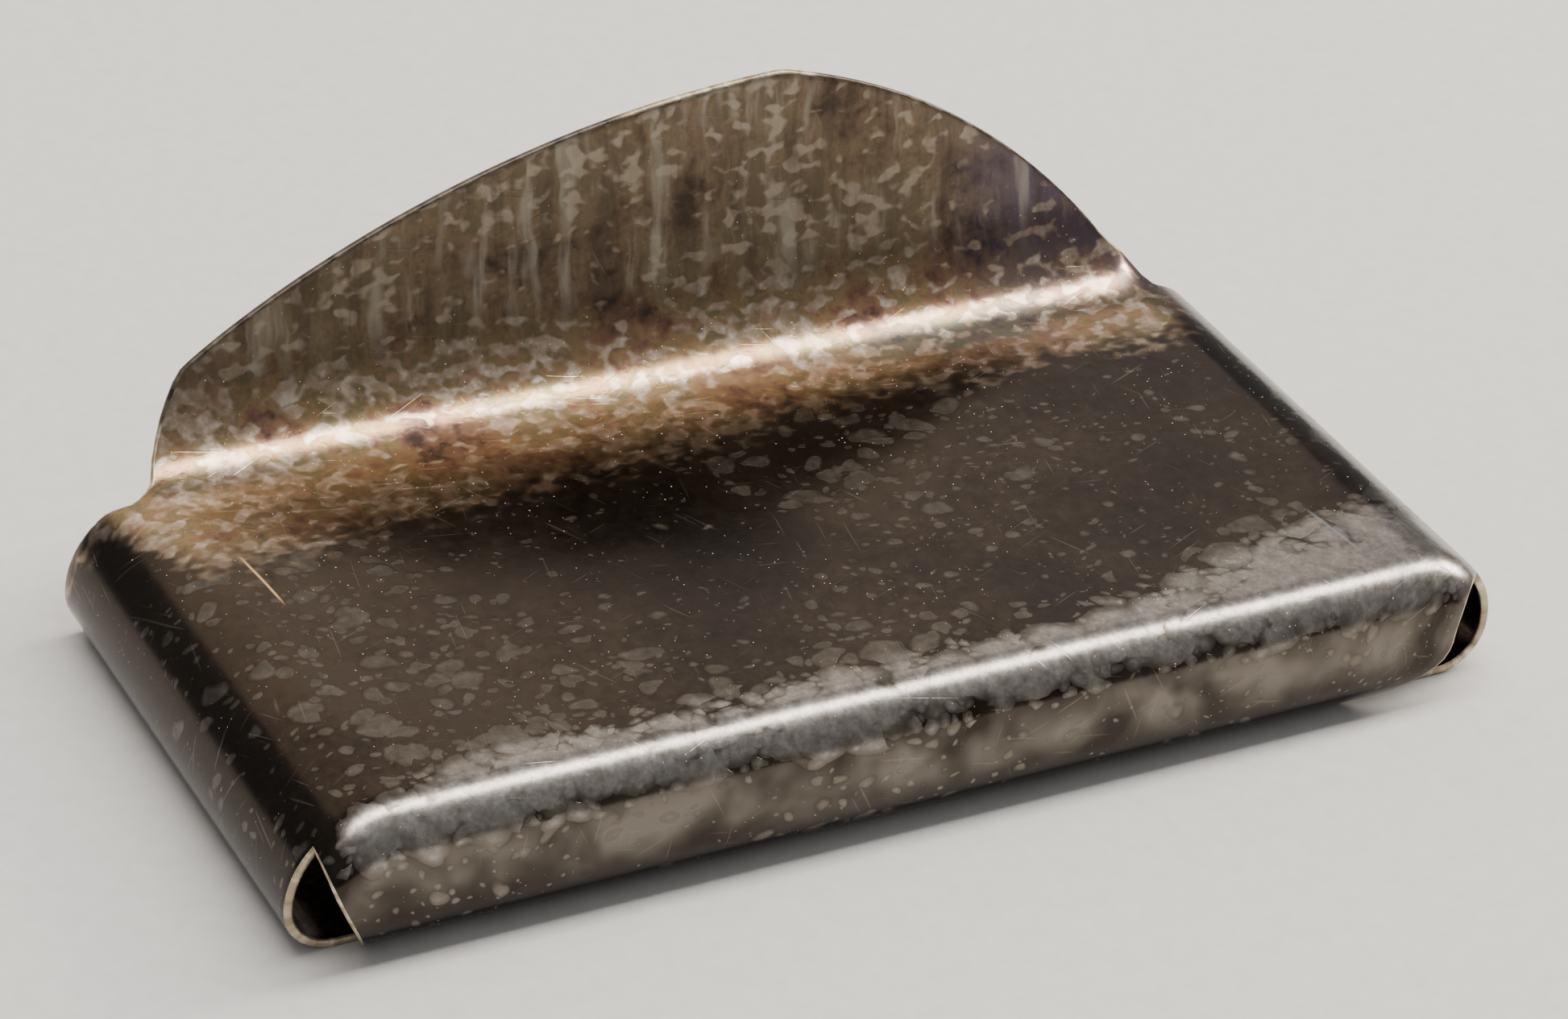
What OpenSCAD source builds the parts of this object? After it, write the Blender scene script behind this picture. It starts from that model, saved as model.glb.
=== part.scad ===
// Wide sprung money clip: a formed sheet cover with rolled edges and a flared
// thumb lip, and a hinged pressure leaf beneath it.
// X runs across the clip, Y from the rolled front to the open mouth, Z up.
// The origin is the middle of the footprint, on the surface the clip stands on.

/* [Cover] */
// Width over the two rolled sides
body_w = 60; // [56:1:66]
// Depth from the rolled front to the rear ends of the side rolls
body_d = 27.4; // [26:0.2:32]
// Height of the flat top above the feet
body_h = 7; // [6.8:0.1:8]
// Thickness of the cover sheet
sheet_t = 0.4; // [0.35:0.05:0.5]
// Outer radius of the upper bend along each side
side_bend_r = 4.6; // [4:0.1:5]
// Outer radius of both bends along the front
front_bend_r = 2.4; // [2:0.1:3]
// Width of the flat hem turned in under the rolled edges
hem_w = 1.6; // [1:0.1:2]

/* [Front corners] */
// How far the front flange's upper corners stand in from the sides
notch_in = 1.2; // [0.8:0.1:2]
// How far the side rolls' front ends stand back from the front
notch_back = 1.9; // [1.5:0.1:2.2]
// How far the front flange's left end leans in at the bottom
left_end_lean = 2.3; // [0:0.1:3]
// How far the front flange's right end leans in above its rounded corner
right_end_lean = 2.2; // [0:0.1:3]
// Radius of the front flange's lower right corner
right_corner_r = 4.4; // [3:0.1:5]

/* [Flared lip] */
// Height of the lip's highest point above the flat top
lip_h = 12.8; // [11:0.1:14]
// Radius of the hollow fillet between the top and the lip
lip_fillet_r = 5.5; // [5:0.1:7]
// Angle that the lip turns up through
lip_turn = 80; // [70:1:84]
// How far the fillet starts in front of the side rolls' rear ends
lip_start = 3; // [2:0.1:4]
// Place of the arch's highest point across the clip
arch_apex_x = 7; // [4:0.5:9]
// Radius of the arch's long left flank
arch_left_r = 64; // [50:1:80]
// Radius of the arch's right flank
arch_right_r = 31; // [28:0.5:40]
// Radius of the arch's left shoulder
shoulder_r = 3.5; // [2:0.1:4]

/* [Hinge] */
// Diameter of the hinge pin
pin_d = 1.2; // [1:0.1:1.3]
// Outer diameter of the outer knuckles, which are soldered into the front roll
knuckle_d = 2.8; // [2.6:0.1:3]
// Outer diameter of the leaf's own knuckle, which clears the front roll
leaf_knuckle_d = 2; // [1.9:0.1:2.2]
// Radial running clearance of the pin in the knuckles
pin_clear = 0.05; // [0.03:0.01:0.08]
// Half of the length of the leaf's middle knuckle
mid_knuckle_half = 13.2; // [12:0.1:14]
// Length of each outer knuckle
outer_knuckle_l = 5; // [4:0.1:6]
// Space that each spring has along the pin
spring_bay = 2.8; // [2.6:0.1:3]

/* [Pressure leaf] */
// Width of the leaf
leaf_w = 40; // [36:1:46]
// Thickness of the leaf
leaf_t = 0.4; // [0.3:0.05:0.5]
// Gap between the closed leaf and the underside of the cover
leaf_gap = 0.35; // [0.2:0.05:0.5]
// How far the leaf's rear edge stands in from the side rolls' rear ends
leaf_setback = 1.2; // [0.8:0.1:3]
// Angle that the leaf's rear edge turns down
leaf_flare = 32; // [20:1:40]
// Slope of the ramp from the hinge up to the flat of the leaf
leaf_ramp = 45; // [35:1:50]

/* [Springs] */
// Thickness of the spring wire
wire_d = 0.34; // [0.3:0.02:0.36]
// Turns in each coil
coil_turns = 5; // [4:1:6]

/* [Hidden] */
$fn = 96;
eps = 0.01;
solder = 0.05; // depth that a soldered joint sinks in
half_w = body_w / 2;
side_curl_r = body_h - side_bend_r;
flat_half = half_w - side_bend_r;

// The lip's side view is a fillet arc, then a straight run up to the rim
lip_arc_rise = lip_fillet_r * (1 - cos(lip_turn));
lip_run = (lip_h - lip_arc_rise) / sin(lip_turn);
lip_back = (lip_fillet_r + sheet_t) * sin(lip_turn) + lip_run * cos(lip_turn);
total_d = body_d - lip_start + lip_back;
front_y = -total_d / 2;
rear_y = front_y + body_d;
fillet_y = rear_y - lip_start;

// The hinge stands inside the front roll, against its front wall
knuckle_r = knuckle_d / 2;
leaf_knuckle_r = leaf_knuckle_d / 2;
bore_r = pin_d / 2 + pin_clear;
hinge_lift = 0.5; // height of the outer knuckles above the roll's floor
hinge_y = front_y + sheet_t + knuckle_r - solder;
hinge_z = sheet_t + knuckle_r + hinge_lift;
outer_knuckle_x = mid_knuckle_half + spring_bay;
pin_half = outer_knuckle_x + outer_knuckle_l;

// Outline of a rolled section: half width, height and the two bend radii, all
// drawn inset by one sheet thickness for the hollow
module rolled_half(half, top_r, low_r, inset) {
    intersection() {
        translate([0, inset]) square([half - inset, body_h - 2 * inset]);
        union() {
            square([half - top_r, body_h]);
            translate([0, low_r]) square([half - inset, body_h - top_r - low_r + eps]);
            square([half - low_r, body_h - top_r]);
            translate([half - top_r, body_h - top_r]) intersection() {
                circle(r = top_r - inset);
                translate([-top_r, 0]) square(2 * top_r);
            }
            translate([half - low_r, low_r]) circle(r = low_r - inset);
        }
    }
}

// Section across the clip, standing in the XZ plane and run along Y
module across(inset, from_y, to_y) {
    translate([0, to_y, 0]) rotate([90, 0, 0]) linear_extrude(to_y - from_y)
        for (s = [0, 1]) mirror([s, 0])
            translate([-eps * s, 0]) rolled_half(half_w, side_bend_r, side_curl_r, inset);
}

// Section from front to rear, standing in the YZ plane and run along X
module along(inset, rear) {
    front_span = rear - front_y;
    translate([-half_w - 1, rear, 0]) rotate([90, 0, 90]) linear_extrude(body_w + 2)
        mirror([1, 0]) rolled_half(front_span, front_bend_r, front_bend_r, inset);
}

module tray() {
    difference() {
        intersection() {
            across(0, front_y, rear_y);
            along(0, rear_y);
        }
        intersection() {
            across(sheet_t, front_y, rear_y + 1);
            along(sheet_t, rear_y + 1);
        }
        // the open underside, between the hems
        open_half = half_w - side_curl_r - hem_w;
        translate([-open_half, front_y + front_bend_r + hem_w, -1])
            cube([2 * open_half, body_d, 1 + sheet_t + eps]);
    }
}

// Front view of the front flange: both ends lean in towards the bottom, and the
// lower right corner is rounded
module front_flange_outline() {
    top_half = half_w - notch_in;
    right_low = top_half - right_end_lean;
    lean_end_z = right_corner_r + 0.3;
    difference() {
        polygon([[-top_half, body_h + 1], [top_half, body_h + 1], [top_half, body_h],
                 [right_low, lean_end_z], [right_low, -1],
                 [-top_half + left_end_lean, -1], [-top_half, body_h - 1]]);
        translate([right_low - right_corner_r, -1]) difference() {
            square([right_corner_r + 1, right_corner_r + 1]);
            translate([0, right_corner_r + 1]) circle(r = right_corner_r);
        }
    }
}

// Everything in front of the side rolls' ends that isn't the front flange
module corner_notches() {
    translate([0, front_y + notch_back, 0]) rotate([90, 0, 0]) linear_extrude(notch_back + 1)
        difference() {
            translate([-half_w - 1, -1]) square([body_w + 2, body_h + 3]);
            front_flange_outline();
        }
}

// Centre of the circle of radius r through p and q that lies below them
function below_centre(p, q, r) =
    let (chord = q - p, len = norm(chord), up = [-chord[1], chord[0]] / len)
    (p + q) / 2 - up * sqrt(r * r - len * len / 4);

// The lip's front view: two flank arcs meet at the apex, and a shoulder arc
// turns the left flank down into the side
module arch_outline() {
    foot_up = 4; // height of both flanks' ends above the flat top
    left_foot_in = 2.4;
    right_foot_in = 2.7;
    apex = [arch_apex_x, body_h + lip_h];
    left_foot = [-flat_half + left_foot_in, body_h + foot_up];
    right_foot = [flat_half - right_foot_in, body_h + foot_up];
    left_c = below_centre(left_foot, apex, arch_left_r);
    right_c = below_centre(apex, right_foot, arch_right_r);
    shoulder_x = -flat_half + shoulder_r;
    inner_r = arch_left_r - shoulder_r;
    shoulder_z = left_c[1] + sqrt(inner_r * inner_r - pow(shoulder_x - left_c[0], 2));
    shoulder_c = [shoulder_x, shoulder_z];
    outward = (shoulder_c - left_c) / inner_r;
    difference() {
        intersection() {
            translate([-flat_half, 0]) square([2 * flat_half, body_h + lip_h + 1]);
            translate(left_c) circle(r = arch_left_r, $fn = 360);
            union() {
                translate(right_c) circle(r = arch_right_r, $fn = 240);
                translate([arch_apex_x - 2 * half_w, 0]) square([2 * half_w, 2 * half_w]);
            }
        }
        difference() {
            polygon([shoulder_c, shoulder_c + outward * (shoulder_r + 2),
                     [-flat_half - 2, shoulder_z + shoulder_r + 2], [-flat_half - 2, shoulder_z]]);
            translate(shoulder_c) circle(r = shoulder_r);
        }
    }
}

// A stretch of the lip: its side view run across the clip, trimmed by the arch
module lip_stretch() {
    intersection() {
        translate([-flat_half, fillet_y, body_h + lip_fillet_r])
            rotate([90, 0, 90]) linear_extrude(2 * flat_half) children();
        translate([0, fillet_y + 2 * lip_back, 0]) rotate([90, 0, 0])
            linear_extrude(3 * lip_back) arch_outline();
    }
}

module lip() {
    reach = 2 * lip_fillet_r;
    lip_stretch() intersection() {
        difference() {
            circle(r = lip_fillet_r + sheet_t);
            circle(r = lip_fillet_r);
        }
        polygon([[0, 0], [0, -reach], [reach, -reach],
                 [reach * sin(lip_turn), -reach * cos(lip_turn)]]);
    }
    lip_stretch() rotate(lip_turn) translate([-eps, -lip_fillet_r - sheet_t])
        square([lip_run + 1, sheet_t]);
}

module clip_body() {
    color("dimgray") {
        difference() {
            tray();
            corner_notches();
            translate([-flat_half, fillet_y, body_h / 2])
                cube([2 * flat_half, body_d, body_h]);
        }
        lip();
    }
}

// A tube of radius r along the hinge, from x0 over length
module knuckle(x0, length, r) {
    translate([x0, hinge_y, hinge_z]) rotate([0, 90, 0]) difference() {
        cylinder(h = length, r = r);
        translate([0, 0, -1]) cylinder(h = length + 2, r = bore_r);
    }
}

module left_hinge_knuckle() {
    color("silver") knuckle(-pin_half, outer_knuckle_l, knuckle_r);
}

module right_hinge_knuckle() {
    color("silver") knuckle(outer_knuckle_x, outer_knuckle_l, knuckle_r);
}

module leaf_knuckle() {
    color("silver") knuckle(-mid_knuckle_half, 2 * mid_knuckle_half, leaf_knuckle_r);
}

// The pin's ends are peened over the outer knuckles
module hinge_pin() {
    head_r = pin_d / 2 + 0.25;
    head_t = 0.3;
    end_gap = 0.05;
    full_half = pin_half + end_gap + head_t;
    color("lightsteelblue") translate([0, hinge_y, hinge_z]) rotate([0, 90, 0]) {
        translate([0, 0, -full_half]) cylinder(h = 2 * full_half, r = pin_d / 2);
        for (s = [0, 1]) mirror([0, 0, s])
            translate([0, 0, full_half - head_t]) cylinder(h = head_t, r = head_r);
    }
}

// The leaf's side view: a strip over the knuckle, a ramp, the flat that grips
// and a flared rear edge
leaf_root_z = hinge_z + leaf_knuckle_r - solder;
leaf_top_z = body_h - sheet_t - leaf_gap;
leaf_rise = leaf_top_z - leaf_t - leaf_root_z;
ramp_y = hinge_y + leaf_knuckle_r + leaf_t;
flat_y = ramp_y + leaf_rise / tan(leaf_ramp);
flare_len = 3;
leaf_end_y = rear_y - leaf_setback;
flare_y = leaf_end_y - flare_len * cos(leaf_flare);

// A strip of the leaf from p, of the given length, turned up by angle
module strip(p, length, angle) {
    translate(p) rotate(angle) square([length, leaf_t]);
}

module leaf_profile() {
    knee_len = leaf_rise / sin(leaf_ramp);
    difference() {
        union() {
            strip([hinge_y, leaf_root_z], ramp_y - hinge_y, 0);
            translate([ramp_y, leaf_root_z + leaf_t]) circle(r = leaf_t);
            strip([ramp_y, leaf_root_z], knee_len, leaf_ramp);
            strip([flat_y, leaf_top_z - leaf_t], flare_y - flat_y, 0);
            translate([flat_y, leaf_top_z - leaf_t]) circle(r = leaf_t);
            translate([flare_y, leaf_top_z - leaf_t]) circle(r = leaf_t);
            translate([flare_y, leaf_top_z - leaf_t]) rotate(-leaf_flare)
                square([flare_len, leaf_t]);
        }
        // keep the inside of each bend open
        translate([ramp_y - 2 * leaf_t, leaf_root_z + leaf_t])
            square([2 * leaf_t, leaf_t]);
        translate([flat_y, leaf_top_z - 2 * leaf_t]) square([flare_y - flat_y, leaf_t]);
    }
}

module pressure_leaf() {
    corner_r = 4;
    shoulder_y = ramp_y + 1; // the leaf widens behind the springs
    color("gainsboro") intersection() {
        translate([-leaf_w / 2, 0, 0]) rotate([90, 0, 90]) linear_extrude(leaf_w) leaf_profile();
        linear_extrude(body_h) union() {
            translate([-mid_knuckle_half, hinge_y]) square([2 * mid_knuckle_half, body_d]);
            difference() {
                translate([-leaf_w / 2, shoulder_y]) square([leaf_w, leaf_end_y - shoulder_y]);
                for (s = [0, 1]) mirror([s, 0])
                    translate([leaf_w / 2 - corner_r, leaf_end_y - corner_r]) difference() {
                        square(corner_r + 1);
                        circle(r = corner_r);
                    }
            }
        }
    }
}

// A round wire swept through points
function unit(v) = v / norm(v);
function tangent(path, i) =
    unit(path[min(i + 1, len(path) - 1)] - path[max(i - 1, 0)]);
function ring(c, t, r, sides) =
    let (a = unit(cross(t, abs(t[0]) > 0.9 ? [0, 1, 0] : [1, 0, 0])), b = cross(t, a))
    [for (k = [0:sides - 1]) c + r * (cos(360 * k / sides) * a + sin(360 * k / sides) * b)];

module wire(path, r) {
    sides = 8;
    n = len(path);
    points = [for (i = [0:n - 1]) each ring(path[i], tangent(path, i), r, sides)];
    walls = [for (i = [0:n - 2], k = [0:sides - 1])
        let (a = i * sides + k, b = i * sides + (k + 1) % sides)
        [a, b, b + sides, a + sides]];
    first = [for (k = [0:sides - 1]) sides - 1 - k];
    last = [for (k = [0:sides - 1]) (n - 1) * sides + k];
    polyhedron(points, concat([first], walls, [last]), convexity = 8);
}

// Each spring: a coil round the pin, one leg up against the front roll's wall,
// and one leg back under the leaf's ramp. It is drawn for the right side. The
// coil starts at its top, at the leaf's leg, and ends at its front, at the wall's.
module torsion_spring() {
    coil_gap = 0.1; // between the coil and a knuckle's bore
    turn_gap = 0.04;
    coil_r = bore_r + wire_d / 2 + coil_gap;
    coil_l = coil_turns * (wire_d + turn_gap);
    x0 = mid_knuckle_half + (spring_bay - coil_l) / 2;
    steps = 16; // in one turn
    last = (coil_turns - 0.75) * steps;
    coil = [for (i = [0:last])
        let (a = 90 + 360 * i / steps)
        [x0 + coil_l * i / last, hinge_y + coil_r * cos(a), hinge_z + coil_r * sin(a)]];
    leaf_leg_l = 3.2;
    leaf_leg_rise = 17; // degrees
    leaf_leg = [for (s = [1, 0.5])
        coil[0] + s * leaf_leg_l * [0, cos(leaf_leg_rise), sin(leaf_leg_rise)]];
    wall_leg_l = 1.5;
    wall_leg = [for (s = [0.5, 1]) coil[last] + s * wall_leg_l * [0, 0.05, 1]];
    wire(concat(leaf_leg, coil, wall_leg), wire_d / 2);
}

module left_torsion_spring() {
    color("slategray") mirror([1, 0, 0]) torsion_spring();
}

module right_torsion_spring() {
    color("slategray") torsion_spring();
}

clip_body();
left_hinge_knuckle();
right_hinge_knuckle();
hinge_pin();
pressure_leaf();
leaf_knuckle();
left_torsion_spring();
right_torsion_spring();
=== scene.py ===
import math
from types import SimpleNamespace
import bpy
import numpy as np
from mathutils import Matrix, Vector, noise


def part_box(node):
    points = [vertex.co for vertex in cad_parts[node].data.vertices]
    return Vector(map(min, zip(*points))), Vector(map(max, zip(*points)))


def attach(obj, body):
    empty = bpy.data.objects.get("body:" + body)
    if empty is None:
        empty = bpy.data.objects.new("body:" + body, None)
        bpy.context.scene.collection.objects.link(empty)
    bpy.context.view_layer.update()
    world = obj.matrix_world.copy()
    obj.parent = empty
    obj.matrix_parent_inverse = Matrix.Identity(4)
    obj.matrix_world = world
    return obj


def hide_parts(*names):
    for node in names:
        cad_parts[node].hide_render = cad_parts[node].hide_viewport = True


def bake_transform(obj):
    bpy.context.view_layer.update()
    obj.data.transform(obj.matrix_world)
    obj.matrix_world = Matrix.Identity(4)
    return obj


# A wide sprung money clip in tarnished silver: a formed sheet cover with rolled
# edges and a flared lip, over a hinged pressure leaf with a pin and two springs.

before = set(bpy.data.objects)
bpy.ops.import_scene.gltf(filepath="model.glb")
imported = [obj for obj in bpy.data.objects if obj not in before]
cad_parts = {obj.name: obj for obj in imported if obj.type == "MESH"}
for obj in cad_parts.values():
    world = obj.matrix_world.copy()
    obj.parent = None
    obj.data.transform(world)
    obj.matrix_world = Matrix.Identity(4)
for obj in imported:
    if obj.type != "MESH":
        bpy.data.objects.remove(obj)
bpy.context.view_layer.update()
MM = 0.001
COVER_LO, COVER_HI = (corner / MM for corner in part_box("clip_body"))

# The cover's sizes, in millimetres
HALF_W = (COVER_HI.x - COVER_LO.x) / 2
FRONT_Y = COVER_LO.y
BODY_DEPTH = 27.4
REAR_Y = FRONT_Y + BODY_DEPTH
LEFT_ROLL_SHORTER = 0.8
TOP_Z = 7.0
SHEET_T = 0.4
SIDE_BEND_R = 4.6
SIDE_CURL_R = TOP_Z - SIDE_BEND_R
FLAT_HALF = HALF_W - SIDE_BEND_R
FRONT_BEND_R = 2.4
HEM_W = 1.6
NOTCH_IN = 1.2
NOTCH_BACK = 1.9
FLANGE_HALF = HALF_W - NOTCH_IN
PLAIN_FLANGE_HALF = 19.0
LEFT_END_LEAN = 2.3
RIGHT_END_STEP = 2.2
RIGHT_CORNER_IN = 5.0
RIGHT_CORNER_H = 3.4
LIP_TURN = math.radians(80)
LIP_START_Y = REAR_Y - 3.4
LIP_BEND_L = 4.9
DISH = 0.22
RIM_BULGE = 0.13
GRID_STEP = 0.42
LIP_ROWS = 33
RIM_RINGS = 5

# The lip's rim, above the flat top: two arcs that meet at the apex
APEX = (7.0, 12.8)
LEFT_FOOT = (-23.0, 4.0)
RIGHT_FOOT = (22.7, 4.0)
LEFT_ARC_R = 64.0
RIGHT_ARC_R = 31.0
LEFT_FOOT_SLOPE = 1.5
LEFT_FOOT_END_X = -25.95
RIGHT_TAIL_X = 24.0
RIGHT_TAIL_H = 2.5
RIGHT_TAIL_L = 2.0
RIM_EASING = 0.55

# The springs' wire
WIRE_R = 0.17
COIL_R = 0.92
COIL_TURNS = 4.25

# The UV layer holds the sheet coordinates in millimetres divided by this number
CHART_SCALE = 100


def smoothstep(low, high, value):
    t = np.clip((np.asarray(value, float) - low) / (high - low), 0, 1)
    return t * t * (3 - 2 * t)


# ---------------------------------------------------------------- the cover

def side_bend_length():
    return SIDE_BEND_R * math.pi / 2


def side_section(s):
    """x and z of the rolled side at a distance s out from the middle, along the sheet."""
    side, s = math.copysign(1, s), abs(s)
    if s <= FLAT_HALF:
        return side * s, TOP_Z
    s -= FLAT_HALF
    if s <= side_bend_length():
        turn = s / SIDE_BEND_R
        return (side * (FLAT_HALF + SIDE_BEND_R * math.sin(turn)),
                TOP_Z - SIDE_BEND_R * (1 - math.cos(turn)))
    s -= side_bend_length()
    curl_length = SIDE_CURL_R * math.pi / 2
    turn = min(s, curl_length) / SIDE_CURL_R
    x = HALF_W - SIDE_CURL_R * (1 - math.cos(turn)) - max(s - curl_length, 0)
    return side * x, SIDE_CURL_R * (1 - math.sin(turn))


def side_drop(x):
    """How far the side bend has fallen below the flat top at x."""
    out = min(max(abs(x) - FLAT_HALF, 0), SIDE_BEND_R)
    return SIDE_BEND_R - math.sqrt(SIDE_BEND_R ** 2 - out ** 2)


FRONT_ARC = FRONT_BEND_R * math.pi / 2
FRONT_WALL = TOP_Z - 2 * FRONT_BEND_R


def front_section(a):
    """y and z of the front roll at a distance a along the sheet from its upper bend's start."""
    y0 = FRONT_Y + FRONT_BEND_R
    if a <= FRONT_ARC:
        turn = a / FRONT_BEND_R
        return y0 - FRONT_BEND_R * math.sin(turn), TOP_Z - FRONT_BEND_R * (1 - math.cos(turn))
    a -= FRONT_ARC
    if a <= FRONT_WALL:
        return FRONT_Y, TOP_Z - FRONT_BEND_R - a
    a -= FRONT_WALL
    turn = min(a, FRONT_ARC) / FRONT_BEND_R
    return (y0 - FRONT_BEND_R * math.cos(turn) + max(a - FRONT_ARC, 0),
            FRONT_BEND_R * (1 - math.sin(turn)))


def lip_curve():
    """Tables of distance along the lip, run back and rise, for a bend that eases in and out."""
    a = np.linspace(0, 24, 1200)
    turn = LIP_TURN * (1 - np.exp(-(a / LIP_BEND_L) ** 2))
    step = a[1] - a[0]
    back = np.concatenate([[0], np.cumsum(np.cos((turn[1:] + turn[:-1]) / 2) * step)])
    rise = np.concatenate([[0], np.cumsum(np.sin((turn[1:] + turn[:-1]) / 2) * step)])
    return a, back, rise


LIP_A, LIP_BACK, LIP_RISE = lip_curve()


def roll_end(x):
    """Where the side rolls end at the back: the left one is a little shorter."""
    return REAR_Y - LEFT_ROLL_SHORTER * float(smoothstep(-20, -27, x))


def lip_start(x):
    """Where the sheet starts to turn up: later towards the side rolls, which run straight."""
    return LIP_START_Y + (roll_end(x) - LIP_START_Y) * float(smoothstep(24.8, 28.4, abs(x)))


def rear_line(x):
    """Where the side rolls' rear edge lies: it dips a little beside the lip."""
    dip = 0.55 if x < 0 else 0.25
    return roll_end(x) - dip * math.exp(-((abs(x) - 27.0) / 0.8) ** 2)


def sheet_end(x):
    """Where the sheet ends: on the lip's rim, and out at the sides on the rear line."""
    height = float(np.interp(x, RIM_FINE_X, RIM_FINE_H))
    rim = lip_start(x) + float(np.interp(height, LIP_RISE, LIP_A))
    rear = rear_line(x)
    on_lip = 1 - float(smoothstep(25.2, 26.8, abs(x)))
    return max(rear + (rim - rear) * on_lip, rear + 0.03)


def arc_height(x, start, end, radius):
    """The height at x of the arc that bulges upwards from start to end."""
    half_x, half_h = (end[0] - start[0]) / 2, (end[1] - start[1]) / 2
    half_chord = math.hypot(half_x, half_h)
    down = math.sqrt(radius ** 2 - half_chord ** 2) / half_chord
    centre_x = start[0] + half_x + half_h * down
    centre_h = start[1] + half_h - half_x * down
    return centre_h + math.sqrt(max(radius ** 2 - (x - centre_x) ** 2, 0))


def rim_height(x):
    """The lip's height: steep at its left foot, and running out gently at its right foot."""
    if x <= APEX[0]:
        foot = LEFT_FOOT_SLOPE * (x - LEFT_FOOT_END_X)
        return max(0.0, min(arc_height(x, LEFT_FOOT, APEX, LEFT_ARC_R), foot))
    if x < RIGHT_TAIL_X - 0.1:
        return arc_height(x, APEX, RIGHT_FOOT, RIGHT_ARC_R)
    return RIGHT_TAIL_H * math.exp((RIGHT_TAIL_X - x) / RIGHT_TAIL_L)


def smooth_rim(reach):
    """The rim's heights on a fine grid, with the corners eased over the reach."""
    fine = np.linspace(-FLANGE_HALF, FLANGE_HALF, 1200)
    height = np.array([rim_height(x) for x in fine])
    half = int(reach / (fine[1] - fine[0]))
    kernel = np.hanning(2 * half + 1)
    kernel /= kernel.sum()
    padded = np.concatenate([np.full(half, height[0]), height, np.full(half, height[-1])])
    return fine, np.convolve(padded, kernel, "valid")


RIM_FINE_X, RIM_FINE_H = smooth_rim(RIM_EASING)


def crease(x, y, line_x, line_y, slope, half_length, middle_y):
    """1 on a short ridge along a slightly slanting line, and 0 away from it."""
    away = (x - line_x + slope * (y - line_y)) / 0.45
    return math.exp(-away ** 2) * math.exp(-((y - middle_y) / half_length) ** 2)


def plate_shape(x, y):
    """Small departures of the flat top from flat: a shallow dish, ripples and two creases."""
    across = max(0.0, 1 - (x / 27) ** 2)
    along = max(0.0, 1 - ((y + 1.5) / 12.5) ** 2)
    z = -DISH * across * along
    z += 0.035 * noise.noise(Vector((x * 0.10, y * 0.13, 3.1)))
    z += 0.012 * noise.noise(Vector((x * 0.33, y * 0.38, 7.7)))
    left = crease(x, y, -24.2, 2.5, 0.10, 1.9, 2.5)
    right = crease(x, y, 22.9, -11, 0.12, 1.8, -10.6)
    return z + 0.07 * left + 0.05 * right


def flange_edge(side, z):
    """How far out the front flange reaches at height z: it leans in on the left, and has a
    step and a cut lower corner on the right."""
    if side < 0:
        return FLANGE_HALF - LEFT_END_LEAN * (1 - z / TOP_Z) ** 1.5
    step_in = RIGHT_END_STEP * (1 - math.exp(z - TOP_Z))
    corner = RIGHT_CORNER_IN * max(0.0, 1 - z / RIGHT_CORNER_H) ** 2.2
    return FLANGE_HALF - step_in - corner


def cover_point(s, t):
    """A point of the cover's outer skin. s runs across the sheet from the middle, and t
    back along it: t is y on the flat top, and goes on along the sheet at both ends."""
    x, z = side_section(s)
    bend_y = FRONT_Y + FRONT_BEND_R
    if t < bend_y:
        y, front_z = front_section(bend_y - t)
        if abs(s) <= SPLIT_S + 1e-6:
            if bend_y - t > NOTCH_A + 1e-6:
                plain = PLAIN_FLANGE_HALF
                if abs(x) > plain:
                    reach = flange_edge(math.copysign(1, x), front_z)
                    share = (abs(x) - plain) / (FLANGE_HALF - plain)
                    x = math.copysign(plain + (reach - plain) * share, x)
            fallen_z = front_z * (TOP_Z - side_drop(x)) / TOP_Z
            return x, y, fallen_z + plate_shape(x, y) * front_z / TOP_Z
        fade = float(smoothstep(SPLIT_S, SPLIT_S + 1.5, abs(s)))
        y = y * (1 - fade) + t * fade
        return x, y, z - (TOP_Z - front_z) * (1 - fade)
    if abs(s) > SPLIT_S + 1e-6:
        return x, t, z
    z += plate_shape(x, t) * float(smoothstep(FLANGE_HALF, FLAT_HALF - 2, abs(x)))
    start = lip_start(x)
    if t <= start:
        return x, t, z
    a = t - start
    return x, start + np.interp(a, LIP_A, LIP_BACK), z + np.interp(a, LIP_A, LIP_RISE)


# Distance across the sheet at which the flange and the lip end and the side rolls go on
SPLIT_S = FLAT_HALF + SIDE_BEND_R * math.asin((FLANGE_HALF - FLAT_HALF) / SIDE_BEND_R)
# Distance along the front bend at which the corner notches start
NOTCH_A = FRONT_BEND_R * math.asin((FRONT_BEND_R - NOTCH_BACK) / FRONT_BEND_R)
EDGE_S = FLAT_HALF + side_bend_length() + SIDE_CURL_R * math.pi / 2 + HEM_W


def steps(low, high, step=GRID_STEP):
    return np.linspace(low, high, max(2, int(round((high - low) / step)) + 1))


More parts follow.
